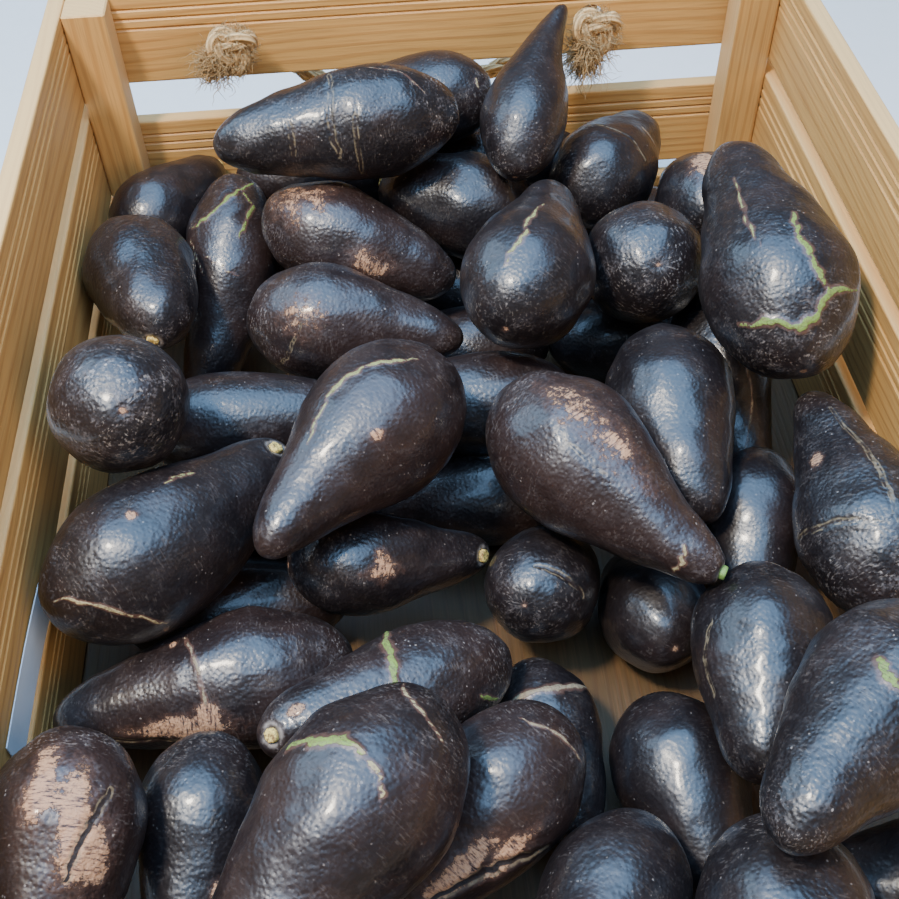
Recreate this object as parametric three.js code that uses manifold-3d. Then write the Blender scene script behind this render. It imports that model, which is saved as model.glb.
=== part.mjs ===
// A wooden market crate heaped with black, pear-shaped avocados.
// Units are millimetres and +Z is up. The crate stands on z = 0 with its long side along Y.
import * as THREE from "three";
import { mergeVertices } from "three/addons/utils/BufferGeometryUtils.js";
import Module from "manifold-3d";

const wasm = await Module();
wasm.setup();
const { Manifold, Mesh: SolidMesh } = wasm;

// ---------------------------------------------------------------- crate sizes
const OUTER_WIDTH = 400;
const OUTER_LENGTH = 600;
const HEIGHT = 186;
const BOARD_THICK = 9;
const BOARD_HEIGHT = 52;
const FLOOR_THICK = 9;
const SIDE_GAP = 9.5;
const HAND_GAP = 25;
const LOW_END_BOARD_HEIGHT = 37;
const POST_WIDTH = 22.5;
const POST_DEPTH = 20;
const FIT = 0.2;

const INNER_WIDTH = OUTER_WIDTH - 2 * BOARD_THICK;
const INNER_LENGTH = OUTER_LENGTH - 2 * BOARD_THICK;
const HALF_WIDTH = INNER_WIDTH / 2;
const HALF_LENGTH = INNER_LENGTH / 2;

// ---------------------------------------------------------------- rope handles
const ROPE_RADIUS = 5;
const ROPE_HOLE_RADIUS = 7.5;
const ROPE_HOLE_DROP = 30;
const ROPE_HOLE_X = [-110, 91];
const ROPE_SAG = 52;
const ROPE_STAND_OFF = 14;
const KNOT_RADIUS = 17;
const KNOT_FROM_BOARD = 19;

// ---------------------------------------------------------------- fruit mesh
const RINGS = 8;
const SIDES = 10;

const WOOD = new THREE.MeshStandardMaterial({ name: "pine", color: 0xc9955a, roughness: 0.8 });
const ROPE = new THREE.MeshStandardMaterial({ name: "jute_rope", color: 0xa98556, roughness: 1.0 });
const SKIN = new THREE.MeshStandardMaterial({ name: "avocado_skin", color: 0x1d1a20, roughness: 0.4 });

const radians = THREE.MathUtils.degToRad;

// Every fruit that shows: centre x, y, z, then the heading of its stem end in degrees from +X,
// the angle its stem end rises, its length and girth, how much the neck narrows (0 to 1), how far
// the neck bends as a share of the length, and the roll that points the bend.
const FRUIT = [
  ["avocado_01", -160, 256, 80, 35, 0, 86, 50, 0.35, 0.0, 0],
  ["avocado_02", -158, 164, 92, 285, 10, 94, 57, 0.3, 0.0, 0],
  ["avocado_03", -112, 192, 72, 250, -22, 134, 53, 0.4, 0.12, 180],
  ["avocado_04", -52, 216, 134, 191, 0, 126, 57, 0.35, 0.03, 0],
  ["avocado_05", -8, 256, 128, 160, 0, 84, 50, 0.3, 0.0, 0],
  ["avocado_06", 47, 232, 143, 72, 28, 110, 45, 0.6, 0.1, 180],
  ["avocado_07", 6, 205, 106, 190, 0, 86, 58, 0.25, 0.0, 0],
  ["avocado_08", -48, 187, 95, 338, -8, 107, 56, 0.35, 0.0, 0],
  ["avocado_09", 38, 124, 114, 68, 4, 112, 63, 0.45, 0.05, 0],
  ["avocado_10", -52, 107, 91, 352, 0, 109, 60, 0.5, 0.05, 180],
  ["avocado_11", 90, 230, 98, 52, 0, 86, 57, 0.35, 0.0, 0],
  ["avocado_12", 140, 200, 98, 85, -20, 84, 54, 0.3, 0.0, 0],
  ["avocado_14", 97, 138, 104, 92, -38, 88, 61, 0.3, 0.0, 0],
  ["avocado_15", 140, 100, 138, 90, 12, 132, 70, 0.42, 0.03, 0],
  ["avocado_16", 95, 42, 88, 264, -8, 106, 60, 0.35, 0.1, 0],
  ["avocado_17", 127, 91, 64, 268, -8, 122, 52, 0.4, 0.1, 0],
  ["avocado_18", 55, -7, 102, 305, -8, 126, 65, 0.55, 0.04, 0],
  ["avocado_19", -141, 49, 96, 95, -38, 84, 58, 0.3, 0.0, 0],
  ["avocado_21", -132, 5, 89, 41, 5, 126, 66, 0.4, 0.04, 0],
  ["avocado_22", -55, 17, 104, 226, 0, 124, 67, 0.55, 0.05, 0],
  ["avocado_23", -47, -4, 58, 5, 0, 94, 46, 0.45, 0.04, 0],
  ["avocado_27", 26, -18, 50, 60, -30, 80, 51, 0.3, 0.0, 0],
  ["avocado_28", 70, -32, 40, 92, -25, 78, 50, 0.3, 0.0, 0],
  ["avocado_29", -123, -39, 72, 187, 0, 126, 58, 0.42, 0.04, 0],
  ["avocado_30", -41, -97, 84, 190, 10, 110, 50, 0.3, 0.04, 180],
  ["avocado_31", -63, -141, 91, 222, 0, 126, 65, 0.4, 0.03, 0],
  ["avocado_32", -12, -138, 84, 217, 0, 98, 56, 0.35, 0.0, 0],
  ["avocado_33", 18, -90, 54, 273, 0, 84, 46, 0.3, 0.0, 0],
  ["avocado_34", -160, -134, 94, 262, -12, 84, 56, 0.3, 0.0, 0],
  ["avocado_35", -122, -120, 64, 264, -10, 86, 50, 0.3, 0.0, 0],
  ["avocado_37", 70, -106, 40, 268, 0, 88, 56, 0.3, 0.0, 0],
  ["avocado_38", 104, -73, 79, 250, -8, 94, 58, 0.35, 0.0, 0],
  ["avocado_39", 114, -129, 112, 221, 0, 116, 64, 0.45, 0.03, 0],
  ["avocado_40", 147, -18, 92, 84, 6, 116, 62, 0.5, 0.05, 0],
  ["avocado_41", 120, 2, 62, 255, -5, 88, 50, 0.3, 0.0, 0],
  ["avocado_44", 143, -164, 52, 172, 0, 94, 54, 0.4, 0.0, 0],
  ["avocado_45", 78, -186, 84, 262, 0, 104, 62, 0.35, 0.0, 0],
  ["avocado_46", 12, -150, 40, 256, 0, 92, 52, 0.3, 0.0, 0],
];

// The buried fruit lie along X in rows across the crate, one layer on the floor and a few in the
// valleys above it. Neighbours press 1 to 2 mm into each other, so each heap is one solid.
const BURIED_LENGTH = 108;
const BURIED_GIRTH = 54;
const COLUMN = BURIED_LENGTH - 2;
const ROW = BURIED_GIRTH - 1.5;
const LOW = FLOOR_THICK + BURIED_GIRTH / 2 + 0.5;
const NEST = 0.92 * ROW;
const HIGH = LOW + Math.sqrt(NEST * NEST - (ROW / 2) ** 2);
const FAR_ROW = HALF_LENGTH - BURIED_GIRTH / 2 - 2;
const NEAR_ROW = -FAR_ROW;
// Each entry: x in columns from the middle, y in rows from that end, and the layer's height.
const BURIED_FAR = [
  [-1, 0, LOW], [0, 0, LOW], [1, 0, LOW],
  [0, 1, LOW], [1, 1, LOW],
  [0, 2, LOW], [1, 2, LOW],
  [0, 3, LOW],
  [-1, 4, LOW], [0, 4, LOW],
  [-1.1, 5, LOW],
  [-0.6, 0, LOW + NEST], [0.35, 0, LOW + NEST],
  [0, 3.5, HIGH], [-1, 3.5, HIGH],
];
const BURIED_NEAR = [
  [-1, 0, LOW], [0, 0, LOW], [1, 0, LOW],
  [-1, 1, LOW], [0, 1, LOW],
  [-1, 0.5, HIGH], [0, 0.5, HIGH],
];

// ---------------------------------------------------------------- mesh helpers
function toSolid(geometry) {
  const bare = new THREE.BufferGeometry();
  bare.setAttribute("position", geometry.getAttribute("position"));
  bare.setIndex(geometry.index);
  const merged = mergeVertices(bare, 1e-4);
  const vertProperties = new Float32Array(merged.getAttribute("position").array);
  const triVerts = new Uint32Array(merged.index.array);
  const mesh = new SolidMesh({ numProp: 3, vertProperties, triVerts });
  mesh.merge();
  return new Manifold(mesh);
}

function fromSolid(solid) {
  const mesh = solid.getMesh();
  const geometry = new THREE.BufferGeometry();
  const stride = mesh.numProp;
  const count = mesh.vertProperties.length / stride;
  const positions = new Float32Array(count * 3);
  for (let i = 0; i < count; i += 1) {
    for (let axis = 0; axis < 3; axis += 1) {
      positions[3 * i + axis] = mesh.vertProperties[stride * i + axis];
    }
  }
  geometry.setAttribute("position", new THREE.BufferAttribute(positions, 3));
  geometry.setIndex(new THREE.BufferAttribute(new Uint32Array(mesh.triVerts), 1));
  geometry.computeVertexNormals();
  return geometry;
}

function box(width, depth, height, x, y, bottom) {
  const geometry = new THREE.BoxGeometry(width, depth, height);
  geometry.translate(x, y, bottom + height / 2);
  return geometry;
}

function addMesh(group, name, geometry, material) {
  const mesh = new THREE.Mesh(geometry, material);
  mesh.name = name;
  group.add(mesh);
}

// ---------------------------------------------------------------- fruit shape
// Radius along a fruit as a share of half its girth: blunt at the blossom end (u = 0), and
// narrowing toward the stem end (u = 1).
function profile(u, taper) {
  const across = Math.abs(2 * u - 1);
  const oval = Math.sqrt(1 - Math.pow(across, u < 0.5 ? 2.2 : 3.3));
  return oval * (1 - taper * THREE.MathUtils.smoothstep(u, 0.25, 0.88));
}

function makeFruit([name, x, y, z, heading, rise, length, girth, taper, bend, roll]) {
  let widest = 0;
  for (let i = 1; i < 40; i += 1) {
    widest = Math.max(widest, profile(i / 40, taper));
  }
  const turn = new THREE.Quaternion()
    .setFromAxisAngle(new THREE.Vector3(0, 0, 1), radians(heading))
    .multiply(new THREE.Quaternion().setFromAxisAngle(new THREE.Vector3(0, 1, 0), radians(-rise)))
    .multiply(new THREE.Quaternion().setFromAxisAngle(new THREE.Vector3(1, 0, 0), radians(roll)));
  const centre = new THREE.Vector3(x, y, z);
  const fruit = { name, length, girth, taper, bend, widest, turn, centre, home: centre.clone() };
  fruit.homeTurn = turn.clone();
  return fruit;
}

function radiusAt(fruit, u) {
  return (fruit.girth / 2) * (profile(u, fruit.taper) / fruit.widest);
}

// A point on the fruit's curved middle line, in its own frame: X runs from blossom to stem end.
function middleAt(fruit, u) {
  const past = Math.max(0, u - 0.35);
  const middleBend = 0.06 * fruit.bend;
  return new THREE.Vector3((u - 0.5) * fruit.length, (past * past * 2.4 - middleBend) * fruit.bend
    * fruit.length, 0);
}

function fruitGeometry(fruit) {
  const positions = [];
  const index = [];
  const put = (point) => {
    const moved = point.clone().applyQuaternion(fruit.turn).add(fruit.centre);
    positions.push(moved.x, moved.y, moved.z);
  };
  put(middleAt(fruit, 0));
  for (let ring = 1; ring <= RINGS; ring += 1) {
    const u = (1 - Math.cos((Math.PI * ring) / (RINGS + 1))) / 2;
    const middle = middleAt(fruit, u);
    for (let side = 0; side < SIDES; side += 1) {
      const angle = (2 * Math.PI * side) / SIDES;
      const around = new THREE.Vector3(0, Math.cos(angle), Math.sin(angle));
      put(middle.clone().addScaledVector(around, radiusAt(fruit, u)));
    }
  }
  put(middleAt(fruit, 1));
  const last = RINGS * SIDES + 1;
  const at = (ring, side) => 1 + ring * SIDES + (side % SIDES);
  for (let side = 0; side < SIDES; side += 1) {
    index.push(0, at(0, side + 1), at(0, side));
    index.push(last, at(RINGS - 1, side), at(RINGS - 1, side + 1));
    for (let ring = 0; ring < RINGS - 1; ring += 1) {
      const [a, b] = [at(ring, side), at(ring, side + 1)];
      const [c, d] = [at(ring + 1, side), at(ring + 1, side + 1)];
      index.push(a, b, d, a, d, c);
    }
  }
  const geometry = new THREE.BufferGeometry();
  geometry.setAttribute("position", new THREE.Float32BufferAttribute(positions, 3));
  geometry.setIndex(index);
  geometry.computeVertexNormals();
  return geometry;
}

// ---------------------------------------------------------------- settling the heap
// Each fruit is a chain of balls. Balls that meet are pushed apart, mostly along the line of
// sight from above the near end, so the heap keeps its look from there.
const BALLS = 9;
const CLEARANCE = 0.7;
const SIGHT = new THREE.Vector3(0.05, 0.65, -0.76).normalize();
const SIDEWAYS = 0.3;
const STEPS = 500;
const FREE_STEPS = 220;
const PULL_HOME = 0.03;
const SETTLE_PULL = 0.12;

function placeBalls(fruit) {
  fruit.balls = [];
  for (let i = 0; i < BALLS; i += 1) {
    const u = 0.1 + (0.8 * i) / (BALLS - 1);
    const tip = Math.min(u, 1 - u) * fruit.length;
    const radius = Math.min(radiusAt(fruit, u), tip + 0.12 * fruit.girth);
    const centre = middleAt(fruit, u).applyQuaternion(fruit.turn).add(fruit.centre);
    fruit.balls.push({ centre, radius });
  }
}

function yieldTo(normal) {
  const along = normal.dot(SIGHT) * (1 - SIDEWAYS);
  return normal.clone().multiplyScalar(SIDEWAYS).addScaledVector(SIGHT, along);
}

function push(fruit, from, normal, depth, share) {
  const give = yieldTo(normal);
  const size = depth * share / Math.max(0.2, give.dot(normal));
  fruit.centre.addScaledVector(give, size * 0.8);
  const arm = from.clone().sub(fruit.centre);
  const twist = arm.cross(normal);
  const reach = fruit.length * fruit.length * 0.12 + twist.lengthSq();
  const angle = (depth * share * twist.length()) / reach;
  if (angle > 1e-6) {
    const spin = new THREE.Quaternion().setFromAxisAngle(twist.normalize(), angle * 0.6);
    fruit.turn.premultiply(spin);
  }
}

function keepInside(fruit) {
  for (const ball of fruit.balls) {
    const reach = ball.radius + CLEARANCE;
    const { x, y, z } = ball.centre;
    const walls = [
      [new THREE.Vector3(1, 0, 0), -HALF_WIDTH + reach - x],
      [new THREE.Vector3(-1, 0, 0), x + reach - HALF_WIDTH],
      [new THREE.Vector3(0, 1, 0), -HALF_LENGTH + reach - y],
      [new THREE.Vector3(0, -1, 0), y + reach - HALF_LENGTH],
      [new THREE.Vector3(0, 0, 1), FLOOR_THICK + reach - z],
    ];
    const postX = Math.sign(x) * (HALF_WIDTH - POST_WIDTH);
    const postY = Math.sign(y) * (HALF_LENGTH - POST_DEPTH);
    const nearX = Math.abs(x) > Math.abs(postX) ? x : postX;
    const nearY = Math.abs(y) > Math.abs(postY) ? y : postY;
    const away = new THREE.Vector3(x - nearX, y - nearY, 0);
    if (away.length() > 0.01) {
      walls.push([away.clone().normalize(), reach - away.length()]);
    }
    for (const [normal, depth] of walls) {
      if (depth > 0) {
        push(fruit, ball.centre.clone().addScaledVector(normal, -ball.radius), normal, depth, 1);
      }
    }
  }
}

function separate(one, two) {
  const limit = (one.length + two.length) / 2 + 20;
  if (one.centre.distanceTo(two.centre) > limit) {
    return 0;
  }
  let deepest = 0;
  let contact = null;
  for (const a of one.balls) {
    for (const b of two.balls) {
      const gap = a.centre.distanceTo(b.centre);
      const depth = a.radius + b.radius + CLEARANCE - gap;
      if (depth > deepest && gap > 0.01) {
        deepest = depth;
        contact = { a, b, normal: a.centre.clone().sub(b.centre).divideScalar(gap) };
      }
    }
  }
  if (contact) {
    const { a, b, normal } = contact;
    const point = b.centre.clone().addScaledVector(normal, b.radius);
    push(one, point, normal, deepest, two.fixed ? 1 : 0.5);
    if (!two.fixed) {
      push(two, point, normal.clone().negate(), deepest, 0.5);
    }
  }
  return deepest;
}

function settle(loose, fixed) {
  fixed.forEach(placeBalls);
  let worst = 0;
  for (let step = 0; step < STEPS; step += 1) {
    worst = 0;
    loose.forEach((fruit) => {
      if (step < STEPS - FREE_STEPS) {
        fruit.centre.lerp(fruit.home, PULL_HOME);
        fruit.turn.slerp(fruit.homeTurn, PULL_HOME);
        fruit.centre.addScaledVector(SIGHT, SETTLE_PULL);
      }
      placeBalls(fruit);
    });
    loose.forEach((one, i) => {
      loose.slice(i + 1).forEach((two) => {
        worst = Math.max(worst, separate(one, two));
      });
      fixed.forEach((two) => {
        worst = Math.max(worst, separate(one, two));
      });
      keepInside(one);
    });
  }
  loose.forEach(placeBalls);
  return worst;
}

// ---------------------------------------------------------------- crate
function addCrate(group) {
  const panel = box(OUTER_WIDTH, OUTER_LENGTH, FLOOR_THICK, 0, 0, 0);
  addMesh(group, "floor_panel", panel, WOOD);

  const postHeight = HEIGHT - FLOOR_THICK - FIT;
  const postX = HALF_WIDTH - POST_WIDTH / 2 - FIT;
  const postY = HALF_LENGTH - POST_DEPTH / 2 - FIT;
  for (const [end, sy] of [["back", 1], ["front", -1]]) {
    for (const [side, sx] of [["left", -1], ["right", 1]]) {
      const post = box(POST_WIDTH, POST_DEPTH, postHeight, sx * postX, sy * postY,
        FLOOR_THICK + FIT);
      addMesh(group, `post_${end}_${side}`, post, WOOD);
    }
  }

  const boardBottom = (level) => HEIGHT - BOARD_HEIGHT - level * (BOARD_HEIGHT + SIDE_GAP);
  const levels = ["top", "middle", "bottom"];
  const sideX = OUTER_WIDTH / 2 - BOARD_THICK / 2;
  levels.forEach((level, i) => {
    for (const [side, sx] of [["left", -1], ["right", 1]]) {
      const board = box(BOARD_THICK, OUTER_LENGTH, BOARD_HEIGHT, sx * sideX, 0, boardBottom(i));
      addMesh(group, `side_board_${side}_${level}`, board, WOOD);
    }
  });

  const endY = OUTER_LENGTH / 2 - BOARD_THICK / 2;
  const endWidth = INNER_WIDTH - 2 * FIT;
  const middleBottom = HEIGHT - 2 * BOARD_HEIGHT - HAND_GAP;
  const lowBottom = FLOOR_THICK + FIT;
  for (const [end, sy] of [["back", 1], ["front", -1]]) {
    const plain = box(endWidth, BOARD_THICK, BOARD_HEIGHT, 0, sy * endY, HEIGHT - BOARD_HEIGHT);
    const holes = ROPE_HOLE_X.map((x) => {
      const drill = new THREE.CylinderGeometry(ROPE_HOLE_RADIUS, ROPE_HOLE_RADIUS,
        3 * BOARD_THICK, 24);
      drill.translate(sy * x, sy * endY, HEIGHT - ROPE_HOLE_DROP);
      return toSolid(drill);
    });
    const drilled = holes.reduce((solid, hole) => solid.subtract(hole), toSolid(plain));
    addMesh(group, `end_board_${end}_top`, fromSolid(drilled), WOOD);
    addMesh(group, `end_board_${end}_middle`,
      box(endWidth, BOARD_THICK, BOARD_HEIGHT, 0, sy * endY, middleBottom), WOOD);
    addMesh(group, `end_board_${end}_bottom`,
      box(endWidth, BOARD_THICK, LOW_END_BOARD_HEIGHT, 0, sy * endY, lowBottom), WOOD);
    addMesh(group, `rope_handle_${end}`, ropeHandle(sy), ROPE);
  }
}

// One rope: a knot inside the end board, out through a hole, a hanging loop, and back in.
function ropeHandle(sy) {
  const [x0, x1] = ROPE_HOLE_X;
  const top = HEIGHT - ROPE_HOLE_DROP;
  const inside = HALF_LENGTH - KNOT_FROM_BOARD;
  const outside = OUTER_LENGTH / 2 + ROPE_STAND_OFF;
  const place = (x, y, z) => new THREE.Vector3(sy * x, sy * y, z);
  const path = new THREE.CatmullRomCurve3([
    place(x0, inside, top),
    place(x0, HALF_LENGTH, top),
    place(x0, OUTER_LENGTH / 2 + 3, top),
    place(x0 + 9, outside, top - 9),
    place(x0 + 45, outside, top - 0.75 * ROPE_SAG),
    place((x0 + x1) / 2, outside, top - ROPE_SAG),
    place(x1 - 45, outside, top - 0.75 * ROPE_SAG),
    place(x1 - 9, outside, top - 9),
    place(x1, OUTER_LENGTH / 2 + 3, top),
    place(x1, HALF_LENGTH, top),
    place(x1, inside, top),
  ], false, "centripetal");
  const circle = new THREE.Shape();
  circle.absarc(0, 0, ROPE_RADIUS, 0, 2 * Math.PI, false);
  const rope = new THREE.ExtrudeGeometry(circle, { steps: 26, curveSegments: 4, extrudePath: path });
  let solid = toSolid(rope);
  for (const x of [x0, x1]) {
    const knot = new THREE.SphereGeometry(KNOT_RADIUS, 12, 8);
    knot.scale(1, 0.85, 1.1);
    knot.translate(sy * x, sy * inside, top);
    solid = solid.add(toSolid(knot));
  }
  return fromSolid(solid);
}

// ---------------------------------------------------------------- the whole part
function buriedFruit(cells, firstRow, step) {
  return cells.map(([column, row, z], i) => {
    const heading = 180 * (i % 2);
    const fruit = makeFruit(["", column * COLUMN, firstRow + step * row, z, heading, 0,
      BURIED_LENGTH, BURIED_GIRTH, 0.25, 0, 0]);
    fruit.fixed = true;
    return fruit;
  });
}

function join(fruits) {
  const solids = fruits.map((fruit) => toSolid(fruitGeometry(fruit)));
  return fromSolid(solids.reduce((sum, solid) => sum.add(solid)));
}

function build() {
  const group = new THREE.Group();
  group.name = "avocado_crate";
  addCrate(group);
  const far = buriedFruit(BURIED_FAR, FAR_ROW, -ROW);
  const near = buriedFruit(BURIED_NEAR, NEAR_ROW, ROW);
  const loose = FRUIT.map(makeFruit);
  settle(loose, [...far, ...near]);
  addMesh(group, "buried_avocados_far", join(far), SKIN);
  addMesh(group, "buried_avocados_near", join(near), SKIN);
  loose.forEach((fruit) => addMesh(group, fruit.name, fruitGeometry(fruit), SKIN));
  return group;
}

export default build();
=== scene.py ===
"""A pine market crate heaped with black avocados: the looks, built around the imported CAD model.

Lengths are in metres. +Z is up, +Y runs along the crate to its back end, +X to its right side.
"""
import math
import random

import bmesh
import bpy
import numpy as np
from mathutils import Matrix, Vector


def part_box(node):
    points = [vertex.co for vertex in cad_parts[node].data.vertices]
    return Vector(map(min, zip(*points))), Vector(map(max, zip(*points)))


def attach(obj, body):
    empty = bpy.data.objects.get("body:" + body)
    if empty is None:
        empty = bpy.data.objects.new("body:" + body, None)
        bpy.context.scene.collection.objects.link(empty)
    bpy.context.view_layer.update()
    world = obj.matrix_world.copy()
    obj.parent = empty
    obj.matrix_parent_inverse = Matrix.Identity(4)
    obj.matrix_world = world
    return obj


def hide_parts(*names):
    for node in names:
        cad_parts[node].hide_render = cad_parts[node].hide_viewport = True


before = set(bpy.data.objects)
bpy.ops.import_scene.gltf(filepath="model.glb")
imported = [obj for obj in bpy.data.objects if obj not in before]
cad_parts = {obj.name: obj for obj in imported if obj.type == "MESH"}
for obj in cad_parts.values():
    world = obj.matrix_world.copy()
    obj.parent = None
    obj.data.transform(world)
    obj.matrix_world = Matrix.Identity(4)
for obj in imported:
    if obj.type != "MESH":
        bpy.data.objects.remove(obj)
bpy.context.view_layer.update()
MM = 0.001

# ---------------------------------------------------------------- sizes read from the frame
INNER_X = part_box("side_board_right_middle")[0].x
INNER_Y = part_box("end_board_back_top")[0].y

# ---------------------------------------------------------------- camera
CAMERA_PLACE = Vector((-0.0366, -0.3059, 0.4855))
CAMERA_RIGHT = Vector((0.99555, -0.09222, -0.01926))
CAMERA_UP = Vector((0.08211, 0.74915, 0.65729))
CAMERA_LENS_MM = 46.37


def make_camera():
    camera = add_object("camera", bpy.data.cameras.new("camera"))
    back = CAMERA_RIGHT.cross(CAMERA_UP)
    turn = Matrix((CAMERA_RIGHT, CAMERA_UP, back)).transposed().to_4x4()
    camera.matrix_world = Matrix.Translation(CAMERA_PLACE) @ turn
    camera.data.lens = CAMERA_LENS_MM
    camera.data.clip_start = 0.01
    bpy.context.scene.camera = camera


# ---------------------------------------------------------------- mesh and material helpers
def add_object(name, data):
    made = bpy.data.objects.new(name, data)
    bpy.context.scene.collection.objects.link(made)
    return made


def new_object(name, vertices, faces, smooth=True):
    mesh = bpy.data.meshes.new(name)
    mesh.from_pydata([tuple(v) for v in vertices], [], [tuple(f) for f in faces])
    mesh.polygons.foreach_set("use_smooth", [smooth] * len(mesh.polygons))
    return add_object(name, mesh)


def apply_modifiers(piece):
    """The piece's mesh becomes what its modifiers make of it."""
    bpy.context.view_layer.update()
    evaluated = piece.evaluated_get(bpy.context.evaluated_depsgraph_get())
    made = bpy.data.meshes.new_from_object(evaluated)
    piece.modifiers.clear()
    piece.data = made


def welded_solid(node):
    """A CAD node as an editable mesh whose triangles share their corners."""
    solid = bmesh.new()
    solid.from_mesh(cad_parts[node].data)
    bmesh.ops.remove_doubles(solid, verts=solid.verts, dist=0.01 * MM)
    return solid


def stack_faces(first, rings, count):
    """Quads between stacked rings of count vertices each, and a cap at either end."""
    last = first + (rings - 1) * count
    faces = [tuple(range(first + count - 1, first - 1, -1)), tuple(range(last, last + count))]
    for start in range(first, last, count):
        for i in range(count):
            j = (i + 1) % count
            faces.append((start + i, start + j, start + count + j, start + count + i))
    return faces


def set_values(mesh, name, values):
    """Stores one number, or one vector, for every vertex."""
    values = np.asarray(values, np.float32)
    if values.ndim == 1:
        mesh.attributes.new(name, "FLOAT", "POINT").data.foreach_set("value", values)
    else:
        layer = mesh.attributes.new(name, "FLOAT_VECTOR", "POINT")
        layer.data.foreach_set("vector", values.ravel())


def finish_piece(piece, material, slot, *nodes):
    """The piece gets its material, moves with the crate and replaces its CAD nodes."""
    piece.data.materials.append(material)
    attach(piece, "root")
    if nodes:
        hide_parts(*nodes)
    return piece


class Nodes:
    """Short calls that build one material's node tree."""

    def __init__(self, name):
        self.material = bpy.data.materials.new(name)
        self.material.use_nodes = True
        self.tree = self.material.node_tree
        self.shader = self.tree.nodes["Principled BSDF"]

    def put(self, socket, value):
        if isinstance(value, bpy.types.NodeSocket):
            self.tree.links.new(value, socket)
        elif socket.type == "RGBA" and len(value) == 3:
            socket.default_value = (*value, 1)
        else:
            socket.default_value = value

    def add(self, kind, inputs, output=0, **settings):
        node = self.tree.nodes.new(kind)
        for key, value in settings.items():
            setattr(node, key, value)
        for key, value in inputs.items():
            self.put(node.inputs[key], value)
        return node.outputs[output]

    def surface(self, **inputs):
        for key, value in inputs.items():
            self.put(self.shader.inputs[key.replace("_", " ")], value)

    def place(self):
        return self.add("ShaderNodeTexCoord", {}, "Object")

    def value(self, name):
        return self.add("ShaderNodeAttribute", {}, "Fac", attribute_name=name)

    def vector(self, name):
        return self.add("ShaderNodeAttribute", {}, "Vector", attribute_name=name)

    def noise(self, vector, scale, detail=3.0, roughness=0.5):
        inputs = {"Vector": vector, "Scale": scale, "Detail": detail, "Roughness": roughness}
        return self.add("ShaderNodeTexNoise", inputs)

    def cells(self, vector, scale, feature="F1", output="Distance"):
        inputs = {"Vector": vector, "Scale": scale}
        return self.add("ShaderNodeTexVoronoi", inputs, output, feature=feature)

    def math(self, operation, a, b=0.0, clamp=False):
        return self.add("ShaderNodeMath", {0: a, 1: b}, operation=operation, use_clamp=clamp)

    def times(self, *factors, clamp=False):
        product = factors[0]
        for factor in factors[1:]:
            product = self.math("MULTIPLY", product, factor, clamp)
        return product

    def plus(self, *terms):
        total = terms[0]
        for term in terms[1:]:
            total = self.math("ADD", total, term)
        return total

    def around(self, noise, depth):
        """The noise moved to swing evenly about 0, depth in all from 0 to 1."""
        return self.times(self.math("SUBTRACT", noise, 0.5), depth)

    def stretch(self, vector, scales):
        return self.add("ShaderNodeVectorMath", {0: vector, 1: scales}, operation="MULTIPLY")

    def step(self, value, low, high):
        """0 below low, 1 above high and smooth between them; low may be the larger."""
        flip = low > high
        inputs = {"Value": value, 1: min(low, high), 2: max(low, high), 3: float(flip),
                  4: float(not flip)}
        return self.add("ShaderNodeMapRange", inputs, interpolation_type="SMOOTHSTEP")

    def mix(self, share, a, b):
        inputs = {0: share, 6: a, 7: b}
        return self.add("ShaderNodeMix", inputs, 2, data_type="RGBA")

    def bump(self, height, depth, strength=1.0, under=None):
        inputs = {"Height": height, "Distance": depth, "Strength": strength}
        if under is not None:
            inputs["Normal"] = under
        return self.add("ShaderNodeBump", inputs)


# ---------------------------------------------------------------- materials
SKIN_BLACK = (0.009, 0.0065, 0.007)
SKIN_BROWN = (0.025, 0.0125, 0.010)
SKIN_SILVER = (0.24, 0.20, 0.19)
LENTICEL = (0.46, 0.39, 0.34)
SCAB_PINK = (0.44, 0.235, 0.125)
SCAB_BROWN = (0.13, 0.065, 0.045)
SCAB_CRACK = (0.020, 0.012, 0.010)
CRACK_CORK = (0.25, 0.19, 0.11)
CRACK_CREAM = (0.34, 0.275, 0.135)
CRACK_GREEN = (0.17, 0.245, 0.040)
STEM_YELLOW = (0.78, 0.55, 0.15)
STEM_CORE = (0.22, 0.12, 0.045)
PINE_EARLY = (0.62, 0.340, 0.105)
PINE_LATE = (0.43, 0.200, 0.054)
PINE_SAWN = (0.72, 0.46, 0.20)
# The floor panel's upward face is darkened pine: painted shade under the heap of fruit.
PANEL_PAINTED_SHADE = 0.14
PINE_KNOT = (0.20, 0.085, 0.035)
JUTE_PALE = (0.68, 0.44, 0.20)
JUTE_DARK = (0.40, 0.235, 0.095)
NAIL_GREY = (0.32, 0.31, 0.30)
CARD_WHITE = (0.72, 0.76, 0.80)
STEM_GREEN = (0.20, 0.34, 0.08)
FLOOR_PALE = (0.74, 0.73, 0.71)
RING_SPACING = 4.2 * MM
# Where a crack's tint lies between its three colours.
CORK, CREAM, OLIVE, GREEN = 0.0, 0.5, 0.75, 1.0


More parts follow.
